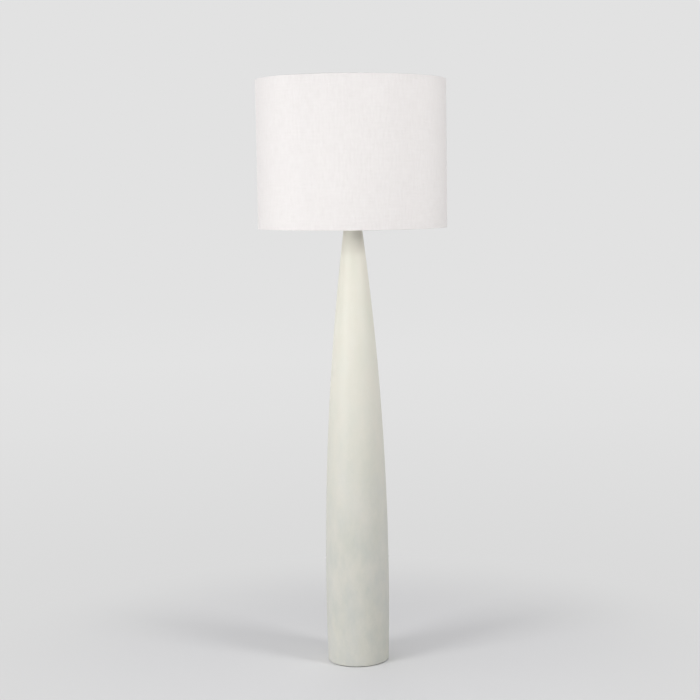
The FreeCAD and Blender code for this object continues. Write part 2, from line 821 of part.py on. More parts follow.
# The two cuts that have a direction take something away.
column = doc.getObject("column_shell")
whole_column = next(item for item in column.Group if item.Name.startswith("column_shell_turn"))
if not column.Shape.Volume < whole_column.Shape.Volume - 1:
    raise RuntimeError("column_shell: the cord inlet is not cut")
clamp = doc.getObject("shade_ring")
whole_clamp = next(item for item in clamp.Group if item.Name.startswith("shade_ring_turn"))
if not clamp.Shape.Volume < whole_clamp.Shape.Volume - FLUTE_COUNT:
    raise RuntimeError("shade_ring: the flutes are not cut")

os.makedirs("parts", exist_ok=True)
for item in pieces:
    item.Shape.exportStep(f"parts/{item.Label}.step")
    print(f"{item.Label}: {len(item.Shape.Solids)} solid(s), {item.Shape.Volume:.1f} mm3")
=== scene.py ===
import math

import bmesh
import bpy
from mathutils import Matrix, Vector


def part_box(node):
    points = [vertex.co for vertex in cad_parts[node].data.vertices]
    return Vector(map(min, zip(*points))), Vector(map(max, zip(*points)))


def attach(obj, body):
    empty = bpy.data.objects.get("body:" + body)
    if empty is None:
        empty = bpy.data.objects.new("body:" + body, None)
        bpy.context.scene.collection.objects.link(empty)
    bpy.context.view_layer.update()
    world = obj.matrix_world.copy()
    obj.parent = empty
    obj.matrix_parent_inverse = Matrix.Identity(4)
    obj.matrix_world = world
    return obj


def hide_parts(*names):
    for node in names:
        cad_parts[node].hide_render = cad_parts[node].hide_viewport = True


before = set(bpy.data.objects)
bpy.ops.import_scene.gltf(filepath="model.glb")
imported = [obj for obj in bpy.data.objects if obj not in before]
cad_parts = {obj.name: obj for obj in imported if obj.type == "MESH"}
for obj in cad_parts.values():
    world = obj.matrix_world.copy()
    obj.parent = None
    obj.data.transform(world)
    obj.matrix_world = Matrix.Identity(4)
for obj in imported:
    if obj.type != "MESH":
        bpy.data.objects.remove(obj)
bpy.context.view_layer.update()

# Column floor lamp. Blender works in metres; the outlines of turned pieces are written in millimetres.
# Z runs up the column from the floor, -Y is the front, and the cord inlet is at the back, on +Y.

MM = 0.001
TURN = 2 * math.pi

THREAD_PITCH = 3.63            # of the bulb's cap and the lamp holder's screw shell, mm
TUBE_HOLE = 5.2                # radius of the hole for the entry tube in the neck's pieces, mm
INLET_RADIUS = 6.0             # of the grommet's neck and of the hole that it sits in, mm
ARM_COUNT = 3
FRONT_ARM = -90                # degrees; one shade arm points to the front
ARM_NOTCH = 1.3                # the linen's turn-in is snipped this far each side of an arm, degrees


def add_object(name, data):
    item = bpy.data.objects.new(name, data)
    bpy.context.collection.objects.link(item)
    return item


def extent(node):
    """The bottom, the top and the reach of a CAD node in mm."""
    low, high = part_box(node)
    return low.z / MM, high.z / MM, high.x / MM


def middle(node):
    """The height of a CAD node's middle in mm."""
    low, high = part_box(node)
    return (low.z + high.z) / 2 / MM


# Camera and softboxes

def set_camera():
    """The photograph's view: looking slightly down, a little off level, framed from one side."""
    lens = bpy.data.cameras.new("camera")
    lens.lens = 78.06
    lens.sensor_width = 36.0
    lens.shift_x = -0.1
    camera = add_object("camera", lens)
    aside = Matrix.Rotation(math.radians(-0.852), 4, "Z")
    look_down = Matrix.Rotation(math.radians(90 - 6.260), 4, "X")
    off_level = Matrix.Rotation(math.radians(-0.522), 4, "Z")
    camera.matrix_world = Matrix.Translation((0.1149, -4.0265, 1.2850)) @ aside @ look_down @ off_level
    bpy.context.scene.camera = camera


def add_softbox(name, place, aim, width, height, watts):
    lamp = bpy.data.lights.new(name, "AREA")
    lamp.shape = "RECTANGLE"
    lamp.size = width
    lamp.size_y = height
    lamp.energy = watts
    softbox = add_object(name, lamp)
    softbox.visible_camera = False
    heading = (Vector(aim) - Vector(place)).to_track_quat("-Z", "Y").to_matrix().to_4x4()
    softbox.matrix_world = Matrix.Translation(place) @ heading


# Node trees

class Wire:
    """The output of a node. Sums of wires become Math nodes in the same tree."""

    def __init__(self, socket):
        self.socket = socket

    def math(self, operation, *others, swapped=False):
        terms = (*others, self) if swapped else (self, *others)
        node = self.socket.id_data.nodes.new("ShaderNodeMath")
        node.operation = operation
        for number, term in enumerate(terms):
            feed(node.inputs[number], term)
        return Wire(node.outputs[0])

    def __add__(self, other):
        return self.math("ADD", other)

    def __sub__(self, other):
        return self.math("SUBTRACT", other)

    def __rsub__(self, other):
        return self.math("SUBTRACT", other, swapped=True)

    def __mul__(self, other):
        return self.math("MULTIPLY", other)

    def __truediv__(self, other):
        return self.math("DIVIDE", other)

    def __rtruediv__(self, other):
        return self.math("DIVIDE", other, swapped=True)

    __radd__ = __add__
    __rmul__ = __mul__


def feed(socket, term):
    """Join a wire to a socket, or write a plain value into it."""
    if isinstance(term, Wire):
        socket.id_data.links.new(term.socket, socket)
    else:
        socket.default_value = term


def put(tree, kind, inputs=None, out=0, **settings):
    """Add a node, set it up, feed its inputs, and give back its output."""
    node = tree.nodes.new(kind)
    for setting, value in settings.items():
        setattr(node, setting, value)
    for key, term in (inputs or {}).items():
        feed(node.inputs[key], term)
    return Wire(node.outputs[out]) if len(node.outputs) else node


def noise(tree, vector, scale, detail=2.0, roughness=0.5):
    return put(tree, "ShaderNodeTexNoise", {
        "Vector": vector, "Scale": scale, "Detail": detail, "Roughness": roughness,
    })


def smooth_rise(tree, value, low, high):
    """0 up to the low value, 1 from the high one, and a smooth rise between them."""
    return put(tree, "ShaderNodeMapRange", {"Value": value, "From Min": low, "From Max": high},
               interpolation_type="SMOOTHSTEP")


SOCKETS = {int: "NodeSocketInt", float: "NodeSocketFloat", tuple: "NodeSocketColor"}


def new_tree(kind, name, inputs, outputs):
    """A node tree with named inputs and outputs; gives back the tree, its inputs and its last node."""
    tree = bpy.data.node_groups.new(name, kind)
    for label, start in inputs.items():
        socket_type = start if isinstance(start, str) else SOCKETS[type(start)]
        socket = tree.interface.new_socket(name=label, in_out="INPUT", socket_type=socket_type)
        if not isinstance(start, str):
            socket.default_value = start
    for label, socket_type in outputs.items():
        tree.interface.new_socket(name=label, in_out="OUTPUT", socket_type=socket_type)
    given = tree.nodes.new("NodeGroupInput")
    return tree, {label: Wire(given.outputs[label]) for label in inputs}, tree.nodes.new("NodeGroupOutput")


def split(tree, place):
    """The X, Y and Z of a place."""
    parts = tree.nodes.new("ShaderNodeSeparateXYZ")
    feed(parts.inputs[0], place)
    return [Wire(output) for output in parts.outputs]


def polar(tree, place):
    """The distance from the Z axis, the angle round it and the height of a place."""
    across, back, level = split(tree, place)
    radius = (across * across + back * back).math("SQRT")
    return radius, back.math("ARCTAN2", across), level


def from_polar(tree, radius, angle, level):
    return put(tree, "ShaderNodeCombineXYZ", {
        0: radius * angle.math("COSINE"), 1: radius * angle.math("SINE"), 2: level,
    })


# Geometry Nodes

def geometry_tree(name, **inputs):
    labels = {label.replace("_", " ").title(): start for label, start in inputs.items()}
    return new_tree("GeometryNodeTree", name,
                    {"Geometry": "NodeSocketGeometry", **labels, "Finish": "NodeSocketMaterial"},
                    {"Geometry": "NodeSocketGeometry"})


def end_tree(tree, given, last, geometry):
    """Every tree ends the same way: real mesh, smooth, with its finish on."""
    whole = put(tree, "GeometryNodeRealizeInstances", {0: geometry})
    soft = put(tree, "GeometryNodeSetShadeSmooth", {0: whole})
    dressed = put(tree, "GeometryNodeSetMaterial", {"Geometry": soft, "Material": given["Finish"]})
    feed(last.inputs[0], dressed)
    return tree


def column_side_tree():
    """The side of the column: one arc, widest at the belly and narrowest at the neck, turned about Z."""
    tree, given, last = geometry_tree("column_side", foot_level=0.0, top_level=1.0, belly_radius=0.1,
                                      belly_level=0.2, neck_radius=0.05, waver=0.0, rings=8, steps=8)
    grid = put(tree, "GeometryNodeMeshGrid", {
        "Size X": 1.0, "Size Y": 1.0,
        "Vertices X": given["Steps"] + 1, "Vertices Y": given["Rings"] + 1,
    })
    around, up = split(tree, put(tree, "GeometryNodeInputPosition"))[:2]
    angle = (around + 0.5) * TURN
    level = given["Foot Level"] + (up + 0.5) * (given["Top Level"] - given["Foot Level"])
    narrowing = given["Belly Radius"] - given["Neck Radius"]
    rise = given["Top Level"] - given["Belly Level"]
    arc = (rise * rise + narrowing * narrowing) / (2 * narrowing)
    above = level - given["Belly Level"]
    radius = given["Belly Radius"] - arc + (arc * arc - above * above).math("SQRT")
    unevenness = noise(tree, from_polar(tree, radius, angle, level), 9.0, 1.0)
    radius = radius + (unevenness - 0.5) * given["Waver"]
    turned = put(tree, "GeometryNodeSetPosition", {
        "Geometry": grid, "Position": from_polar(tree, radius, angle, level),
    })
    closed = put(tree, "GeometryNodeMergeByDistance", {"Geometry": turned, "Distance": 1e-5})
    return end_tree(tree, given, last, closed)


def wire_along_tree():
    """A round wire that follows a path, with its corners bent to one radius."""
    tree, given, last = geometry_tree("wire_along", wire_radius=0.002, bend_radius=0.02, sides=16)
    path = put(tree, "GeometryNodeMeshToCurve", {0: given["Geometry"]})
    bent = put(tree, "GeometryNodeFilletCurve", {
        "Curve": path, "Count": 10, "Radius": given["Bend Radius"], "Limit Radius": True,
    }, mode="POLY")
    section = put(tree, "GeometryNodeCurvePrimitiveCircle", {
        "Resolution": given["Sides"], "Radius": given["Wire Radius"],
    })
    wire = put(tree, "GeometryNodeCurveToMesh", {"Curve": bent, "Profile Curve": section, "Fill Caps": True})
    return end_tree(tree, given, last, wire)


def round_axis_tree():
    """Copies of a part at equal angles round Z."""
    tree, given, last = geometry_tree("round_axis", count=3, first_angle=0.0)
    spots = put(tree, "GeometryNodeMeshLine", {"Count": given["Count"], "Offset": (0, 0, 0)})
    angle = given["First Angle"] + put(tree, "GeometryNodeInputIndex") * TURN / given["Count"]
    copies = put(tree, "GeometryNodeInstanceOnPoints", {
        "Points": spots, "Instance": given["Geometry"],
        "Rotation": put(tree, "ShaderNodeCombineXYZ", {2: angle}),
    })
    return end_tree(tree, given, last, copies)


def flutes_tree():
    """Round flutes cut into the side of a ring above one level."""
    tree, given, last = geometry_tree("flutes", count=24, band_radius=0.025, flute_radius=0.0016,
                                      flute_offset=0.7, from_level=0.0)
    radius, angle, level = polar(tree, put(tree, "GeometryNodeInputPosition"))
    half_step = math.pi / given["Count"]
    off_centre = angle.math("WRAP", half_step, 0 - half_step)
    centre = given["Band Radius"] + given["Flute Offset"] * given["Flute Radius"]
    sideways = centre * off_centre.math("SINE")
    depth = (given["Flute Radius"] * given["Flute Radius"] - sideways * sideways).math("MAXIMUM", 0.0)
    fluted = centre * off_centre.math("COSINE") - depth.math("SQRT")
    outside = radius.math("GREATER_THAN", given["Band Radius"] * 0.9)
    cut = put(tree, "GeometryNodeSetPosition", {
        "Geometry": given["Geometry"],
        "Selection": outside * level.math("GREATER_THAN", given["From Level"]),
        "Position": from_polar(tree, radius.math("MINIMUM", fluted), angle, level),
    })
    return end_tree(tree, given, last, cut)


def thread_tree():
    """A rolled right-hand thread pressed into the side of a tube between two levels."""
    tree, given, last = geometry_tree("thread", pitch=0.003, depth=0.0005, from_level=0.0, to_level=1.0,
                                      from_radius=0.0, run_out=0.002)
    radius, angle, level = polar(tree, put(tree, "GeometryNodeInputPosition"))
    ridge = 1 - (angle - level * TURN / given["Pitch"]).math("COSINE")
    inside = (level - given["From Level"]).math("MINIMUM", given["To Level"] - level)
    strength = (inside / given["Run Out"]).math("MINIMUM", 1.0).math("MAXIMUM", 0.0)
    rolled = put(tree, "GeometryNodeSetPosition", {
        "Geometry": given["Geometry"],
        "Selection": radius.math("GREATER_THAN", given["From Radius"]),
        "Position": from_polar(tree, radius - given["Depth"] / 2 * ridge * strength, angle, level),
    })
    return end_tree(tree, given, last, rolled)


def made_by(tree, finish, start=None, **sizes):
    """The plain mesh that a tree makes from its named sizes, starting from a mesh if it needs one."""
    carrier = add_object("carrier", start or bpy.data.meshes.new("carrier"))
    modifier = carrier.modifiers.new("tree", "NODES")
    modifier.node_group = tree
    wanted = {label.replace("_", " ").title(): value for label, value in sizes.items()}
    wanted["Finish"] = finish
    for socket in tree.interface.items_tree:
        if socket.in_out == "INPUT" and socket.name in wanted:
            modifier[socket.identifier] = wanted.pop(socket.name)
    if wanted:
        raise ValueError(f"{tree.name} has no input named {sorted(wanted)}")
    return settled(carrier)


def modify(piece, kind, **settings):
    modifier = piece.modifiers.new(kind.lower(), kind)
    for setting, value in settings.items():
        setattr(modifier, setting, value)


def settled(piece):
    """The piece's mesh with its modifiers worked in. The working object is then gone."""
    bpy.context.view_layer.update()
    mesh = bpy.data.meshes.new_from_object(piece.evaluated_get(bpy.context.evaluated_depsgraph_get()))
    piece.modifiers.clear()
    bpy.data.objects.remove(piece)
    return mesh


# Turned shapes

def rounded(*corners, steps=4):
    """A closed outline with rounded corners; a corner is (radius, height) and may give its rounding."""
    outline = []
    for before, corner, after in zip(corners[-1:] + corners[:-1], corners, corners[1:] + corners[:1]):
        point = Vector(corner[:2])
        if len(corner) < 3:
            outline.append(tuple(point))
            continue
        arriving = (Vector(before[:2]) - point).normalized()
        leaving = (Vector(after[:2]) - point).normalized()
        half = arriving.angle(leaving) / 2
        centre = point + (arriving + leaving).normalized() * (corner[2] / math.sin(half))
        spoke = point + arriving * (corner[2] / math.tan(half)) - centre
        side = 1 if arriving.x * leaving.y - arriving.y * leaving.x < 0 else -1
        for number in range(steps + 1):
            turn = side * (math.pi - 2 * half) * number / steps
            cos, sin = math.cos(turn), math.sin(turn)
            outline.append((centre.x + spoke.x * cos - spoke.y * sin,
                            centre.y + spoke.x * sin + spoke.y * cos))
    return outline


def between(first, last, count):
    """Points of an outline evenly spaced between two ends, both of them left out."""
    shares = [number / (count + 1) for number in range(1, count + 1)]
    return [tuple(a + (b - a) * share for a, b in zip(first, last)) for share in shares]


def upright(radius, first, last, count):
    """A side at one radius from one height to another, with points between its ends."""
    ends = (radius, first), (radius, last)
    return [ends[0], *between(*ends, count), ends[1]]


def plain_mesh(mesh, name="made"):
    made = bpy.data.meshes.new(name)
    mesh.to_mesh(made)
    mesh.free()
    return made


def crisp(mesh):
    """Smooth faces, with the real edges kept crisp."""
    mesh.shade_smooth()
    mesh.set_sharp_from_angle(angle=math.radians(38))
    return mesh


def turned(outline, steps=96, radius_at=None):
    """The solid of revolution of a closed outline in mm. Points on the axis become one vertex."""
    mesh = bmesh.new()
    rings = []
    for radius, height in outline:
        if radius < 1e-6:
            rings.append([mesh.verts.new((0, 0, height * MM))])
            continue
        ring = []
        for step in range(steps):
            angle = TURN * step / steps
            reach = (radius_at(radius, angle) if radius_at else radius) * MM
            ring.append(mesh.verts.new((reach * math.cos(angle), reach * math.sin(angle), height * MM)))
        rings.append(ring)
    for first, second in zip(rings, rings[1:] + rings[:1]):
        for step in range(steps):
            corners = [first[step % len(first)], first[(step + 1) % len(first)],
                       second[(step + 1) % len(second)], second[step % len(second)]]
            face = list(dict.fromkeys(corners))
            if len(face) > 2:
                mesh.faces.new(face)
    bmesh.ops.recalc_face_normals(mesh, faces=mesh.faces)
    return crisp(plain_mesh(mesh))


def rod(radius, start, end, steps):
    """A plain cylinder to cut with."""
    return turned([(0, start), (radius, start), (radius, end), (0, end)], steps=steps)


def flat_ring(node, bore, reach, roundings, steps=96):
    """A washer between the bottom and the top of its node."""
    bottom, top, _ = extent(node)
    corners = zip((bore, reach, reach, bore), (bottom, bottom, top, top), roundings)
    return turned(rounded(*corners), steps=steps)


def joined(*meshes):
    """Several meshes as one."""
    whole = bmesh.new()
    for mesh in meshes:
        whole.from_mesh(mesh)
    return plain_mesh(whole)


def laid_along_y(mesh, level):
    """Turn a piece made about Z to lie along +Y at a height in mm."""
    mesh.transform(Matrix.Translation((0, 0, level * MM)) @ Matrix.Rotation(-math.pi / 2, 4, "X"))
    return mesh


def cut_away(mesh, *cutters):
    """Take other meshes out of a mesh."""
    base = add_object("base", mesh)
    tools = [add_object("tool", cutter) for cutter in cutters]
    for tool in tools:
        modify(base, "BOOLEAN", operation="DIFFERENCE", solver="EXACT", object=tool)
    made = settled(base)
    for tool in tools:
        bpy.data.objects.remove(tool)
    return crisp(made)


def set_piece(name, mesh, slot, body, *nodes):
    """A finished piece: its mesh, its finish, the body that it rides on and the CAD nodes it stands for."""
    piece = add_object(name, mesh)
    mesh.name = name
    mesh.materials.clear()
    mesh.materials.append(FINISHES[slot])
    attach(piece, body)
    if nodes:
        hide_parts(*nodes)
    return piece


# Shared surface effects

def tone(red, green, blue):
    """A colour as the eye sees it, 0 to 255, in Blender's linear numbers."""
    def linear(level):
        share = level / 255
        return share / 12.92 if share <= 0.04045 else ((share + 0.055) / 1.055) ** 2.4
    return (linear(red), linear(green), linear(blue), 1.0)


def shader_group(name, inputs, **outputs):
    return new_tree("ShaderNodeTree", name, inputs, {
        label.title(): {"colour": "NodeSocketColor", "value": "NodeSocketFloat"}[kind]
        for label, kind in outputs.items()
    })


def mixed(tree, share, first, second):
    """A colour between two."""
    return put(tree, "ShaderNodeMix", {0: share, 6: first, 7: second}, out=2, data_type="RGBA")


def scaled(tree, vector, across, back, up):
    return put(tree, "ShaderNodeMapping", {"Vector": vector, "Scale": (across, back, up)})


def mottle_group():
    """Soft clouds of a second colour, as in a hand-laid finish."""
    tree, given, last = shader_group("mottle", {
        "Vector": "NodeSocketVector", "Scale": 10.0, "Amount": 0.5,
        "Colour": (1.0, 1.0, 1.0, 1.0), "Second Colour": (0.5, 0.5, 0.5, 1.0),
    }, colour="colour", mask="value")
    clouds = noise(tree, given["Vector"], given["Scale"], 3.0, 0.55)
    flecks = noise(tree, given["Vector"], given["Scale"] * 9)
    mask = put(tree, "ShaderNodeMapRange", {
        "Value": clouds * 0.8 + flecks * 0.2, "From Min": 0.35, "From Max": 0.65,
    })
    feed(last.inputs["Colour"], mixed(tree, mask * given["Amount"], given["Colour"], given["Second Colour"]))
    feed(last.inputs["Mask"], mask)
    return tree


def grain_group():
    """Fine tooth of a surface: a small grain over a larger unevenness."""
    tree, given, last = shader_group("grain", {
        "Vector": "NodeSocketVector", "Scale": 900.0, "Unevenness": 0.3,
    }, height="value")
    fine = noise(tree, given["Vector"], given["Scale"], 4.0, 0.6)
    broad = noise(tree, given["Vector"], given["Scale"] * 0.08, 1.0)
    feed(last.inputs["Height"], fine + (broad - fine) * given["Unevenness"])
    return tree


def turning_group():
    """Fine marks that run round a turned piece."""
    tree, given, last = shader_group("turning_marks", {
        "Vector": "NodeSocketVector", "Marks Per Metre": 3000.0,
    }, height="value")
    radius, angle, level = polar(tree, given["Vector"])
    along = put(tree, "ShaderNodeCombineXYZ", {
        0: radius * given["Marks Per Metre"], 1: angle * 0.6, 2: level * given["Marks Per Metre"],
    })
    feed(last.inputs["Height"], noise(tree, along, 1.0, roughness=0.7))
    return tree


def handling_group():
    """Roughness that drifts a little, as on a piece that has been wiped and handled."""
    tree, given, last = shader_group("handling", {
        "Vector": "NodeSocketVector", "Scale": 20.0, "Lowest": 0.4, "Highest": 0.6,
    }, roughness="value")
    drift = noise(tree, given["Vector"], given["Scale"], 5.0, 0.65)
    feed(last.inputs["Roughness"], given["Lowest"] + drift * (given["Highest"] - given["Lowest"]))
    return tree


def weave_group():
    """Plain weave of slubby yarn, over and under, on coordinates that follow the cloth in metres. Its Shade
    output is painted light and shade: lighter on the threads' crowns and darker in the dips between them,
    together with the slubs' own uneven tone.
    """
    tree, given, last = shader_group("plain_weave", {
        "Vector": "NodeSocketVector", "Threads Per Metre": 1600.0, "Slub": 0.5,
    }, height="value", shade="value")
    across, up = split(tree, given["Vector"])[:2]
    heights = []
    slubs = []
    counts = []
    for own, (side, along) in enumerate(((across, up), (up, across))):
        place = side * given["Threads Per Metre"]
        counts.append(place.math("FLOOR"))
        heights.append((place * math.pi).math("SINE").math("ABSOLUTE"))
        yarn = put(tree, "ShaderNodeCombineXYZ", {0: counts[own] * 0.73, 1: along * 55, 2: own * 9.0})
        slubs.append(noise(tree, yarn, 1.0))
    over = (counts[0] + counts[1]).math("FLOORED_MODULO", 2.0)
    crossing = heights[0] + (heights[1] - heights[0]) * over
    slub = slubs[0] + (slubs[1] - slubs[0]) * over
    streaks = noise(tree, scaled(tree, given["Vector"], 18, 260, 1), 1.0, 3.0, 0.6)
    thick = slub * 0.6 + streaks * 0.4
    feed(last.inputs["Height"], crossing * (1 - given["Slub"]) + thick * given["Slub"])
    # Painted light and shade on the weave: thread crowns lighter, dips between threads darker; the slub part
    # is the yarn's own tone.
    feed(last.inputs["Shade"], crossing * 0.45 + thick * 0.55)
    return tree


GROUPS = {
    "mottle": mottle_group(), "grain": grain_group(), "turning": turning_group(),
    "handling": handling_group(), "weave": weave_group(),
}


def grouped(tree, name, inputs, out=0):
    """Place a shared effect with its own values."""
    node = tree.nodes.new("ShaderNodeGroup")
    node.node_tree = GROUPS[name]
    for key, term in inputs.items():
        feed(node.inputs[key], term)
    return Wire(node.outputs[out])


def mottled(tree, place, scale, amount, colour, second):
    return grouped(tree, "mottle", {
        "Vector": place, "Scale": scale, "Amount": amount, "Colour": colour, "Second Colour": second,
    })


def handled(tree, place, scale, lowest, highest):
    return grouped(tree, "handling", {
        "Vector": place, "Scale": scale, "Lowest": lowest, "Highest": highest,
    })


def start_finish(name, **constants):
    """A new material with an empty Principled shader; constants go on the shader's own sockets."""
    material = bpy.data.materials.new(name)
    material.use_nodes = True
    tree = material.node_tree
    shader = tree.nodes["Principled BSDF"]
    for key, value in constants.items():
        shader.inputs[key.replace("_", " ").title().replace("Ior", "IOR")].default_value = value
    return material, tree, shader


def own_place(tree):
    """Object coordinates."""
    return put(tree, "ShaderNodeTexCoord", out=3)


def bump(tree, shader, height, distance, strength=1.0):
    feed(shader.inputs["Normal"], put(tree, "ShaderNodeBump", {
        "Height": height, "Distance": distance, "Strength": strength,
    }))


def solid_finish(name, colour, second, roughness, mottle=(40.0, 0.5), grain=(1500.0, 0.00002),
                 marks=None, **constants):
    """Paint, metal, rubber or moulded plastic: mottled colour, drifting roughness and a fine tooth."""
    material, tree, shader = start_finish(name, **constants)
    place = own_place(tree)
    feed(shader.inputs["Base Color"], mottled(tree, place, *mottle, tone(*colour), tone(*second)))
    feed(shader.inputs["Roughness"], handled(tree, place, mottle[0] * 0.8, *roughness))
    height = grouped(tree, "grain", {"Vector": place, "Scale": grain[0]})
    if marks:
        height = height * 0.3 + grouped(tree, "turning", {"Vector": place, "Marks Per Metre": marks}) * 0.7
    bump(tree, shader, height, grain[1])
    return material


def column_finish():
    """Pale grey-green satin laid on by hand, clouded, with faint turning rings. Lighter and warmer up high,
    darker and cooler at the foot: partly the glaze's own tone, partly painted light that falls off downwards.
    """
    material, tree, shader = start_finish("column_celadon")
    place = own_place(tree)
    # Painted light: with height the colour grows lighter and warmer, partly the glaze's own tone and partly
    # painted light falling off towards the foot.
    rise = smooth_rise(tree, split(tree, place)[2], 0.12, 1.1)
    base = mixed(tree, rise, tone(199, 200, 194), tone(230, 227, 215))
    veil_with_painted_falloff = mixed(tree, rise, tone(190, 193, 182), tone(221, 222, 207))
    clouded = mottled(tree, scaled(tree, place, 1, 1, 0.35), 17.0, 0.6, base, veil_with_painted_falloff)
    warm = mottled(tree, scaled(tree, place, 1, 1, 0.5), 31.0, 0.32, clouded, tone(226, 219, 205))
    feed(shader.inputs["Base Color"], warm)
    feed(shader.inputs["Roughness"], handled(tree, place, 30.0, 0.42, 0.58))
    rings = grouped(tree, "turning", {"Vector": place, "Marks Per Metre": 130.0})
    tooth = grouped(tree, "grain", {"Vector": place, "Scale": 700.0, "Unevenness": 0.5})
    bump(tree, shader, rings * 0.55 + tooth * 0.45, 0.00012)
    return material


def linen_finish():
    """Off-white slub linen in plain weave, on the cloth's own flat coordinates. The yarn's colour carries
    painted light on the threads' crowns and painted shade between them.
    """
    material, tree, shader = start_finish("shade_linen", sheen_weight=0.1, sheen_roughness=0.4,
                                          specular_ior_level=0.95)
    cloth = put(tree, "ShaderNodeUVMap", uv_map="cloth")
    weave = {"Vector": cloth, "Threads Per Metre": 1500.0, "Slub": 0.45}
    shade = grouped(tree, "weave", weave, out=1)
    # Painted light and shade of the weave, taken into the yarn's colour.
    weave_light_and_shade = put(tree, "ShaderNodeMapRange", {"Value": shade, "From Min": 0.25, "From Max": 0.8})
    yarn = mixed(tree, weave_light_and_shade, tone(219, 214, 211), tone(240, 236, 234))
    across = mottled(tree, scaled(tree, cloth, 1, 7, 1), 26.0, 0.5, yarn, tone(225, 221, 218))
    along = mottled(tree, scaled(tree, cloth, 6, 1, 1), 30.0, 0.4, across, tone(241, 238, 236))
    feed(shader.inputs["Base Color"], along)
    feed(shader.inputs["Roughness"], handled(tree, cloth, 60.0, 0.42, 0.56))
    bump(tree, shader, grouped(tree, "weave", weave), 0.00022)
    return material


def felt_finish():
    """Charcoal felt: matted fibres in every direction."""
    material, tree, shader = start_finish("pad_felt", sheen_weight=0.35, sheen_roughness=0.5)
    place = own_place(tree)
    fibres = put(tree, "ShaderNodeTexWave", {
        "Vector": place, "Scale": 420.0, "Distortion": 22.0, "Detail": 4.0, "Detail Scale": 1.6,
    }, out=1)
    strands = mixed(tree, fibres, tone(58, 57, 56), tone(84, 82, 80))
    feed(shader.inputs["Base Color"], mottled(tree, place, 180.0, 0.6, strands, tone(70, 68, 66)))
    feed(shader.inputs["Roughness"], handled(tree, place, 90.0, 0.85, 1.0))
    tooth = grouped(tree, "grain", {"Vector": place, "Scale": 2500.0})
    bump(tree, shader, fibres * 0.6 + tooth * 0.4, 0.0002)
    return material


def make_finishes():
    plastic = {"mottle": (60.0, 0.3), "grain": (2600.0, 0.000012)}
    return {
        "column_finish": column_finish(),
        "shade_linen": linen_finish(),
        "pad_felt": felt_finish(),
        "plate_steel": solid_finish(
            "plate_steel", (120, 122, 125), (92, 94, 98), (0.35, 0.6), mottle=(25.0, 0.6), marks=1400.0,
            metallic=1.0),
        "ballast_iron": solid_finish(
            "ballast_iron", (62, 61, 60), (44, 42, 41), (0.65, 0.9), mottle=(70.0, 0.8),
            grain=(500.0, 0.0003), metallic=0.6),
        "screw_steel": solid_finish(
            "screw_zinc", (178, 180, 182), (150, 150, 148), (0.25, 0.45), marks=2600.0, metallic=1.0),
        "grommet_rubber": solid_finish(
            "grommet_rubber", (48, 47, 46), (38, 37, 36), (0.55, 0.75), grain=(1800.0, 0.00004)),
        "block_nylon": solid_finish(
            "block_nylon", (226, 224, 216), (214, 211, 202), (0.4, 0.55), **plastic),
        "terminal_brass": solid_finish(
            "terminal_brass", (198, 170, 104), (170, 142, 84), (0.28, 0.45), marks=2200.0, metallic=1.0),
        "lead_sheath": solid_finish(
            "lead_sheath", (236, 235, 230), (226, 224, 218), (0.45, 0.6), **plastic),
        "live_brown": solid_finish("live_brown", (104, 62, 38), (88, 52, 32), (0.4, 0.55), **plastic),
        "neutral_blue": solid_finish(
            "neutral_blue", (44, 96, 164), (36, 82, 146), (0.4, 0.55), **plastic),
        "neck_nickel": solid_finish(
            "neck_nickel", (186, 182, 175), (164, 160, 153), (0.24, 0.4), mottle=(45.0, 0.5), marks=3200.0,
            metallic=1.0),
        "holder_white": solid_finish(
            "holder_white", (238, 237, 233), (230, 228, 222), (0.28, 0.42), **plastic),
        "holder_porcelain": solid_finish(
            "holder_porcelain", (240, 239, 234), (231, 228, 221), (0.15, 0.3), mottle=(120.0, 0.4),
            coat_weight=0.6, coat_roughness=0.12),
        "socket_metal": solid_finish(
            "socket_brass", (206, 198, 178), (178, 166, 140), (0.22, 0.42), mottle=(90.0, 0.6),
            marks=2600.0, metallic=1.0),
        "shade_liner": solid_finish(
            "liner_styrene", (243, 241, 237), (236, 233, 227), (0.38, 0.5), mottle=(7.0, 0.5),
            grain=(500.0, 0.00003)),
        "shade_wire": solid_finish(
            "wire_white_coat", (236, 235, 232), (224, 222, 217), (0.3, 0.5), mottle=(90.0, 0.4),
            grain=(1300.0, 0.00002)),
        "globe_opal": solid_finish(
            "globe_opal", (246, 245, 241), (240, 238, 232), (0.28, 0.38), mottle=(30.0, 0.3),
            grain=(900.0, 0.00001), subsurface_weight=0.25, subsurface_scale=0.004),
        "collar_white": solid_finish(
            "collar_white", (236, 235, 232), (229, 227, 222), (0.3, 0.42), **plastic),
        "cap_nickel": solid_finish(
            "cap_nickel", (190, 188, 182), (160, 156, 148), (0.2, 0.4), mottle=(120.0, 0.6), marks=2600.0,
            metallic=1.0),
        "insulator_black": solid_finish(
            "insulator_black", (34, 33, 35), (26, 25, 27), (0.12, 0.25), mottle=(150.0, 0.4),
            coat_weight=0.5, coat_roughness=0.1),
        "board_white": solid_finish(
            "board_white", (228, 230, 228), (214, 216, 212), (0.3, 0.45), mottle=(160.0, 0.4)),
    }


# Foot

def make_foot():
    low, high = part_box("foot_pad")
    bottom, top, radius = extent("foot_pad")
    pad = set_piece("felt_pad", turned(rounded(
        (0, bottom), (radius, bottom, 0.7), (radius, top, 0.5), (0, top)), steps=160),
        "pad_felt", "stand", "foot_pad")

    low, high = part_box("cord_grommet")
    start, mouth, flange = low.y / MM, high.y / MM, high.x / MM
    bore, flange_start = 3.5, mouth - 2
    outline = rounded(
        (bore, start, 0.4), (INLET_RADIUS, start, 0.4), (INLET_RADIUS, flange_start),
        (flange, flange_start, 0.3), (flange, mouth, 1.2), (bore, mouth, 0.7))
    set_piece("inlet_grommet", laid_along_y(turned(outline, steps=64), middle("cord_grommet")),
              "grommet_rubber", "stand", "cord_grommet")


# Column

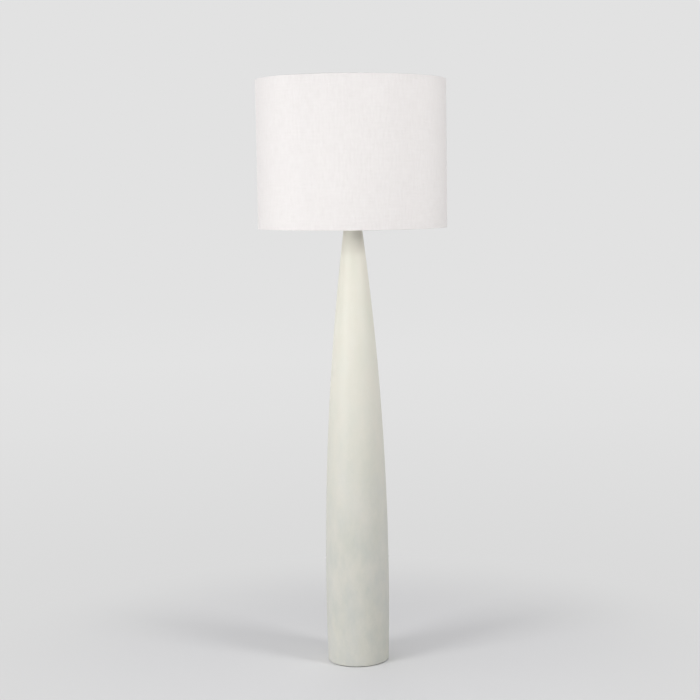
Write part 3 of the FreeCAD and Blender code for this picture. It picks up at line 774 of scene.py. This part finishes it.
def make_column():
    low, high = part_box("column_shell")
    neck_proud = 0.0005
    skin = made_by(COLUMN_SIDE, FINISHES["column_finish"], foot_level=low.z, top_level=high.z,
                   belly_radius=high.x, belly_level=0.215, neck_radius=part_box("neck_cap")[1].x + neck_proud,
                   waver=0.0003, rings=110, steps=180)
    shell = add_object("shell", skin)
    modify(shell, "SOLIDIFY", thickness=0.007, offset=-1, use_even_offset=True)
    modify(shell, "BEVEL", width=0.0011, segments=3, limit_method="ANGLE", angle_limit=math.radians(55))
    inside, outside = 60, 95
    hole = laid_along_y(rod(INLET_RADIUS, inside, outside, 48), middle("cord_grommet"))
    rebate_radius, rebate_bottom = 77.3, 1.0
    rebate = rod(rebate_radius, rebate_bottom, extent("base_plate")[1], 180)
    set_piece("column", cut_away(settled(shell), hole, rebate), "column_finish", "stand", "column_shell")


# Neck

def hex_nut(bottom, top, flats=14.0, bore=5.0, chamfer=0.9):
    """A hexagon nut with its corners turned off at both faces."""
    corner = flats / 2 / math.cos(math.pi / 6)
    circle = flats / 2 - 0.3
    slack = 0.01

    def hexagon(radius, angle):
        if radius < circle + slack:
            return radius
        return flats / 2 / math.cos(angle % (math.pi / 3) - math.pi / 6)

    mesh = turned([(bore, bottom), (circle, bottom), (corner, bottom + chamfer / 2),
                   (corner, top - chamfer / 2), (circle, top), (bore + 0.5, top), (bore, top - 0.5)],
                  steps=72, radius_at=hexagon)
    for vertex in mesh.vertices:
        reach = math.hypot(vertex.co.x, vertex.co.y) / MM
        if reach > circle + 2 * slack:
            drop = (reach - circle) * math.tan(math.radians(30))
            waist = (bottom + top) / 2 * MM
            edge = ((top - bottom) / 2 - drop) * MM
            vertex.co.z = waist + (edge if vertex.co.z > waist else -edge)
    mesh.set_sharp_from_angle(angle=math.radians(25))
    return mesh


def make_neck():
    bottom, top, reach = extent("neck_cap")
    ledge = 1168.0
    spigot = 16.943
    cap = rounded(
        (TUBE_HOLE, bottom, 0.3), (spigot, bottom, 0.6), (spigot, ledge), (reach, ledge, 0.3),
        (reach, top, 1.2), (TUBE_HOLE, top, 0.3))
    set_piece("neck_cap_turned", turned(cap, steps=128), "neck_nickel", "stand", "neck_cap")

    washer = flat_ring("neck_washer", TUBE_HOLE, 9.0, (0.2, 0.3, 0.5, 0.2))
    set_piece("neck_washer_turned", washer, "screw_steel", "stand", "neck_washer")

    for name, node in (("neck_nut_hex", "neck_nut"), ("lock_nut_hex", "lock_nut")):
        bottom, top, _ = extent(node)
        set_piece(name, hex_nut(bottom, top), "screw_steel", "stand", node)

    bottom, top, _ = extent("entry_tube")
    bore, thread, chamfer = 3.5, 5.0, 0.4
    tube = turned([
        (bore, bottom), (thread - chamfer, bottom), *upright(thread, bottom + chamfer, top - chamfer, 170),
        (thread - chamfer, top), (bore, top),
    ], steps=48)
    threaded = made_by(THREAD, FINISHES["screw_steel"], start=tube, pitch=0.001, depth=0.0006,
                       from_level=bottom * MM, to_level=top * MM, from_radius=0.0045, run_out=0.0006)
    set_piece("entry_tube_threaded", threaded, "screw_steel", "stand", "entry_tube")


# Lamp holder

def rolled_tube(name, node, radius, lip, rows, slot, body, plain=0.0):
    """A thin tube with the bulb's thread rolled into it, up to a plain band at its top. Sizes in mm."""
    bottom, top, _ = extent(node)
    tube = turned([*upright(radius, bottom + lip, top, rows), *upright(radius - 0.5, top, bottom, rows)])
    rolled = made_by(THREAD, FINISHES[slot], start=tube, pitch=THREAD_PITCH * MM, depth=0.0006,
                     from_level=bottom * MM, to_level=(top - plain) * MM, run_out=0.002)
    set_piece(name, rolled, slot, body, node)


def make_holder():
    bottom, joint, _ = extent("holder_dome")
    shoulder = bottom + 15
    wide, narrow, throat = 20.5, 9.5, 5.0
    dome = turned(rounded(
        (throat, bottom, 0.3), (narrow, bottom, 0.8), (narrow, bottom + 5, 2.0), (wide, shoulder, 5.0),
        (wide, joint, 0.3), (wide - 2, joint), (wide - 2, shoulder, 3.0), (narrow - 2, bottom + 5),
        (narrow - 2, bottom + 3), (throat, bottom + 3)), steps=128)
    bar_level = middle("switch_bar")
    bar_hole = laid_along_y(rod(2.65, -30, 30, 40), bar_level)
    set_piece("holder_dome_moulded", cut_away(dome, bar_hole), "holder_white", "stand", "holder_dome")

    bottom, top, _ = extent("holder_skirt")
    seat, flange, thread = 1217.0, 26.5, 19.8
    skirt = turned([
        *rounded((19.2, bottom), (wide, bottom, 0.3), (wide, seat - 2.5), (flange, seat - 2.5, 0.8),
                 (flange, seat, 0.5), (thread, seat))[:-1],
        *upright(thread, seat + 0.3, top - 0.8, 90),
        (19.2, top), (17.9, top), (17.4, top - 0.5), (17.4, bottom + 2), (19.2, bottom + 2),
    ], steps=128)
    threaded = made_by(THREAD, FINISHES["holder_white"], start=skirt, pitch=0.003, depth=0.0012,
                       from_level=(seat + 1) * MM, to_level=(top - 0.6) * MM, from_radius=0.0186,
                       run_out=0.0015)
    set_piece("holder_skirt_threaded", threaded, "holder_white", "stand", "holder_skirt")

    rolled_tube("screw_shell_rolled", "screw_shell", 14.0, 0.0, 70, "socket_metal", "stand")
    make_switch(bar_level)


def make_switch(level):
    low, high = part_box("switch_bar")
    start, end = low.y / MM, high.y / MM
    bar = rounded((0, start), (2.5, start, 0.3), (2.5, end, 0.3), (0, end))
    set_piece("push_bar", laid_along_y(turned(bar, steps=48), level), "holder_white", "switch", "switch_bar")
    low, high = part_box("switch_knobs")
    radius = 4.0
    knobs = []
    for inner, outer in ((start, low.y / MM), (end, high.y / MM)):
        dome = (outer - inner) * 0.3
        knob = turned(rounded((0, inner), (radius, inner, 0.5), (radius, outer - dome, 0.9),
                              (2.4, outer, 0.9), (0, outer)), steps=192)
        if outer < inner:
            knob.transform(Matrix.Rotation(math.pi, 4, "Z"))
        fluted = made_by(FLUTES, FINISHES["holder_white"], start=knob, count=24, band_radius=radius * MM,
                         flute_radius=0.0004, flute_offset=0.55, from_level=-1.0)
        knobs.append(laid_along_y(fluted, level))
    set_piece("push_knobs", joined(*knobs), "holder_white", "switch", "switch_knobs")


# Bulb

def make_bulb():
    rolled_tube("bulb_cap_rolled", "bulb_cap", 13.0, 0.3, 64, "cap_nickel", "bulb", plain=4.0)

    bottom, top, mouth = extent("bulb_collar")
    neck, wall = 13.2, 1.3
    collar = rounded(
        (0, bottom), (neck, bottom), (14.5, bottom, 0.6), (15.6, bottom + 4.4, 0.8),
        (15.9, bottom + 5.6, 0.8), (mouth, top - 1.2, 3.0), (mouth, top, 0.4), (mouth - wall, top),
        (mouth - wall, top - 1.6), (mouth - 2.7, top - 1.6), (neck, bottom + wall), (0, bottom + wall))
    set_piece("bulb_collar_moulded", turned(collar, steps=128), "collar_white", "bulb", "bulb_collar")

    rim, top, _ = extent("bulb_globe")
    outer, inner = 30.0, 28.8
    centre = top - outer

    def meridian(radius, steps=36):
        """Half a section of the globe, from its rim to its crown."""
        start = math.asin((rim - centre) / radius)
        angles = [start + (math.pi / 2 - start) * step / steps for step in range(steps)]
        side = [(radius * math.cos(angle), centre + radius * math.sin(angle)) for angle in angles]
        return [*side, (0, centre + radius)]

    globe = turned(meridian(outer) + meridian(inner)[::-1], steps=128)
    set_piece("opal_globe", globe, "globe_opal", "bulb", "bulb_globe")

    board = extent("led_board")[1]
    size, height = 1.3, 0.7
    chip = turned(rounded((0, board), (size, board), (size, board + height, 0.25), (0, board + height)),
                  steps=20)
    from_axis = 0.014
    chip.transform(Matrix.Translation((from_axis, 0, 0)))
    chips = made_by(ROUND_AXIS, FINISHES["board_white"], start=chip, count=12, first_angle=0.13)
    set_piece("led_chips", chips, "board_white", "bulb")


# Shade

def linen_rim(edge, inward, outer, inner):
    """One rim in mm: from the turn-in's raw edge, round the wire, to the outer face."""
    turn_in, bend_start, lay = 9.0, 5.5, 0.27
    points = [(inner, edge + inward * turn_in), (inner, edge + inward * bend_start)]
    for bend, centre, start in ((1.75, inner + 1.75, 180), (1.1, outer - 1.1, 270)):
        for step in range(7):
            angle = math.radians(start + 90 * step / 6)
            up = bend + lay + bend * math.sin(angle)
            points.append((centre + bend * math.cos(angle), edge + inward * up))
    return points


def outward(profile):
    """The unit directions away from the cloth's face at each point of its profile."""
    directions = []
    for before, after in zip([profile[0], *profile[:-1]], [*profile[1:], profile[-1]]):
        run = (after[0] - before[0], after[1] - before[1])
        size = math.hypot(*run)
        directions.append((run[1] / size, -run[0] / size))
    return directions


def make_linen():
    """The linen skin, glued over the liner and rolled round both wires, with one overlap seam at the back."""
    bottom, _, reach = extent("lower_hem")
    outer = reach - 0.7
    inner = extent("lower_wire_ring")[2] - 3.25
    lower = linen_rim(bottom, 1, outer, inner)
    upper = linen_rim(extent("upper_hem")[1], -1, outer, inner)[::-1]
    profile = lower + between(lower[-1], upper[0], 26) + upper
    outwards = outward(profile)
    lengths = [0.0]
    for first, second in zip(profile, profile[1:]):
        lengths.append(lengths[-1] + math.dist(first, second))
    in_turn = len([point for point in lower if point[0] < inner + 1.9])

    steps, overlap, seam_lift = 360, 3, 0.45
    mesh = bmesh.new()
    cloth = mesh.loops.layers.uv.new("cloth")
    columns = []
    for step in range(steps + overlap + 1):
        angle = TURN * step / steps + math.pi / 2
        lift = seam_lift * min(1.0, max(0.0, (step - steps + 3) / 3))
        waver = 0.10 * math.sin(3 * angle + 0.4) + 0.06 * math.sin(7 * angle + 1.9)
        column = []
        for (radius, height), (across, up) in zip(profile, outwards):
            sway = waver * (1 if radius > outer - 0.2 else 0)
            reach = (radius + across * lift + sway) * MM
            place = (reach * math.cos(angle), reach * math.sin(angle), (height + up * lift) * MM)
            column.append(mesh.verts.new(place))
        columns.append(column)
    for step, (first, second) in enumerate(zip(columns, columns[1:])):
        middle_angle = (step + 0.5) * 360 / steps + 90
        at_arm = any(abs((middle_angle - FRONT_ARM - arm * 360 / ARM_COUNT + 180) % 360 - 180) < ARM_NOTCH
                     for arm in range(ARM_COUNT))
        for row in range(len(profile) - 1):
            if at_arm and row < in_turn:
                continue
            face = mesh.faces.new((first[row], second[row], second[row + 1], first[row + 1]))
            face.smooth = True
            for loop, (across, along) in zip(face.loops, ((0, 0), (1, 0), (1, 1), (0, 1))):
                loop[cloth].uv = ((step + across) * TURN / steps * outer * MM, lengths[row + along] * MM)
    body = add_object("cloth", plain_mesh(mesh, "linen"))
    modify(body, "SOLIDIFY", thickness=0.0004, offset=0)
    linen = set_piece("linen_skin", settled(body), "shade_linen", "shade",
                      "shade_fabric", "lower_hem", "upper_hem")
    width = (TURN * outer + overlap * TURN * outer / steps) * MM


def make_shade():
    bottom, top, radius = extent("shade_liner")
    outer, inner = radius - 0.05, radius - 0.5
    foot, head = bottom + 1.3, top - 1.3
    liner = turned([(inner, foot), (outer, foot), (outer, head), (inner, head)], steps=360)
    set_piece("liner_drum", liner, "shade_liner", "shade", "shade_liner")
    make_linen()

    washer = flat_ring("fitter_ring", 20.4, extent("fitter_ring")[2], (0.3, 0.5, 0.5, 0.3), steps=128)
    set_piece("fitter_washer", washer, "shade_wire", "shade", "fitter_ring")
    make_arms(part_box("fitter_ring")[1].z)

    bottom, top, _ = extent("shade_ring")
    bore, band, lip = 20.1, 25.5, 28.0
    ledge = bottom + 2
    flange = rounded((bore, bottom), (lip, bottom, 0.5), (lip, ledge, 0.6), (band, ledge))[:-1]
    ring = turned([
        *flange, *upright(band, ledge, top - 0.9, 4), (band - 0.3, top - 0.3), (band - 0.9, top),
        (bore + 0.6, top), (bore, top - 0.6),
    ], steps=480)
    fluted = made_by(FLUTES, FINISHES["holder_white"], start=ring, count=24, band_radius=band * MM,
                     flute_radius=0.0016, flute_offset=0.7, from_level=(ledge + 0.05) * MM)
    set_piece("fluted_ring", fluted, "holder_white", "clamp", "shade_ring")


def make_arms(fitter_top):
    """Three bent wires welded to the fitter washer and to the lower wire ring."""
    wire = 0.002
    low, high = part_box("lower_wire_ring")
    rim = (low.z + high.z) / 2
    start, run_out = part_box("shade_ring")[1].x + 0.001, high.x - 0.0265
    path = bpy.data.meshes.new("arm_path")
    stops = [(start, 0, fitter_top + wire), (start + 0.022, 0, fitter_top + wire), (run_out, 0, rim),
             (high.x - 0.0026, 0, rim)]
    path.from_pydata(stops, [(0, 1), (1, 2), (2, 3)], [])
    arm = made_by(WIRE_ALONG, FINISHES["shade_wire"], start=path, wire_radius=wire, bend_radius=0.025,
                  sides=20)
    beads = [weld_bead((start + 0.005, 0, fitter_top + 0.0006), (0.0052, 0.0032, 0.0014)),
             weld_bead((high.x - 0.0035, 0, rim), (0.0022, 0.0030, 0.0021))]
    arms = made_by(ROUND_AXIS, FINISHES["shade_wire"], start=joined(arm, *beads), count=ARM_COUNT,
                   first_angle=math.radians(FRONT_ARM))
    arms.set_sharp_from_angle(angle=math.radians(50))
    set_piece("spider_wires", arms, "shade_wire", "shade", "spider_arms")


def weld_bead(place, size):
    """A small uneven bead of weld metal."""
    latitudes = [math.radians(degrees) for degrees in range(-75, 76, 15)]
    side = [(math.cos(latitude) / MM, math.sin(latitude) / MM) for latitude in latitudes]
    bead = turned([(0, -1 / MM), *side, (0, 1 / MM)], steps=20)
    for vertex in bead.vertices:
        ripple = 1 + 0.06 * math.sin(7 * vertex.co.x + 3 * vertex.co.z) * math.cos(5 * vertex.co.y)
        vertex.co = [part * ripple * reach for part, reach in zip(vertex.co, size)]
    bead.transform(Matrix.Translation(place))
    return bead


def dress_nodes():
    """The pieces inside keep their CAD shapes and get their finishes."""
    slots = {
        "base_screws": "screw_steel", "base_plate": "plate_steel", "ballast_weight": "ballast_iron",
        "terminal_block": "block_nylon", "terminal_block_screws": "terminal_brass",
        "inner_lead": "lead_sheath", "live_core": "live_brown", "neutral_core": "neutral_blue",
        "terminal_screws": "terminal_brass", "holder_insert": "holder_porcelain",
        "centre_contact": "terminal_brass", "lower_wire_ring": "shade_wire", "upper_wire_ring": "shade_wire",
        "bulb_insulator": "insulator_black", "bulb_tip": "cap_nickel", "led_board": "board_white",
    }
    for node, slot in slots.items():
        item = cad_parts[node]
        item.data.materials.clear()
        item.data.materials.append(FINISHES[slot])


# Studio

def backdrop_tones(tree, radius):
    """The grey sweep: a little darker round the foot as painted shade, lighter far off. The shares are of 12
    m.
    """
    ramp = tree.nodes.new("ShaderNodeValToRGB")
    feed(ramp.inputs[0], radius / 12)
    # Painted shade: the first stops darken the sweep near the foot.
    stops = [(0.0, 217), (0.05, 217), (0.12, 219), (0.22, 222), (0.36, 225), (0.6, 227), (1.0, 226)]
    marks = ramp.color_ramp.elements
    while len(marks) < len(stops):
        marks.new(0.5)
    for mark, (share, level) in zip(marks, stops):
        mark.position = share
        mark.color = tone(level, level, level)
    return Wire(ramp.outputs[0])


def seeing_rays(tree):
    """Which rays are the camera's, and which show the backdrop: the camera's, gloss's and glass's."""
    rays = tree.nodes.new("ShaderNodeLightPath").outputs
    camera = Wire(rays["Is Camera Ray"])
    others = Wire(rays["Is Glossy Ray"]) + Wire(rays["Is Transmission Ray"])
    return camera, (camera + others).math("MINIMUM", 1.0)


def make_floor():
    mesh = bmesh.new()
    bmesh.ops.create_circle(mesh, cap_ends=True, cap_tris=False, segments=96, radius=60)
    floor = add_object("floor", plain_mesh(mesh, "floor"))

    material = bpy.data.materials.new("floor_paper")
    material.use_nodes = True
    tree = material.node_tree
    tree.nodes.clear()
    radius = polar(tree, own_place(tree))[0]
    camera, seen = seeing_rays(tree)
    shadowed = put(tree, "ShaderNodeBsdfDiffuse", {"Color": tone(233, 233, 233)})
    even = put(tree, "ShaderNodeEmission", {"Color": backdrop_tones(tree, radius), "Strength": 1.0})
    far = smooth_rise(tree, radius, 0.32, 1.15)
    sweep = put(tree, "ShaderNodeMixShader", {0: far * seen, 1: shadowed, 2: even})
    under = put(tree, "ShaderNodeNewGeometry", out=6) * camera
    whole = put(tree, "ShaderNodeMixShader", {0: under, 1: sweep, 2: put(tree, "ShaderNodeBsdfTransparent")})
    feed(tree.nodes.new("ShaderNodeOutputMaterial").inputs["Surface"], whole)
    floor.data.materials.append(material)


def make_wall():
    """An even pale wall for the eye, and a soft fill that is a little stronger from the left."""
    world = bpy.data.worlds.new("studio")
    world.use_nodes = True
    bpy.context.scene.world = world
    tree = world.node_tree
    tree.nodes.clear()
    rightwards = split(tree, put(tree, "ShaderNodeTexCoord", out=0))[0]
    wall = put(tree, "ShaderNodeBackground", {"Color": tone(226, 226, 226), "Strength": 1.0})
    fill = put(tree, "ShaderNodeBackground", {
        "Color": tone(243, 243, 246), "Strength": 0.53 - 0.19 * rightwards,
    })
    whole = put(tree, "ShaderNodeMixShader", {0: seeing_rays(tree)[1], 1: fill, 2: wall})
    feed(tree.nodes.new("ShaderNodeOutputWorld").inputs["Surface"], whole)


def make_studio():
    make_floor()
    make_wall()
    add_softbox("key_softbox", (-2.8, -2.1, 1.5), (0, 0, 1.2), 1.4, 1.7, 60)
    add_softbox("side_softbox", (1.85, -1.2, 1.6), (0, 0, 1.5), 0.6, 0.5, 20)
    add_softbox("front_softbox", (0.4, -5.2, 2.0), (0, 0, 1.1), 3.0, 2.2, 20)
    add_softbox("back_softbox", (-0.5, 3.6, 2.3), (0, 0, 0.9), 2.6, 1.8, 12)
    bpy.context.scene.view_settings.view_transform = "Standard"


set_camera()
COLUMN_SIDE = column_side_tree()
WIRE_ALONG = wire_along_tree()
ROUND_AXIS = round_axis_tree()
FLUTES = flutes_tree()
THREAD = thread_tree()
FINISHES = make_finishes()
make_foot()
make_column()
make_neck()
make_holder()
make_bulb()
make_shade()
dress_nodes()
make_studio()
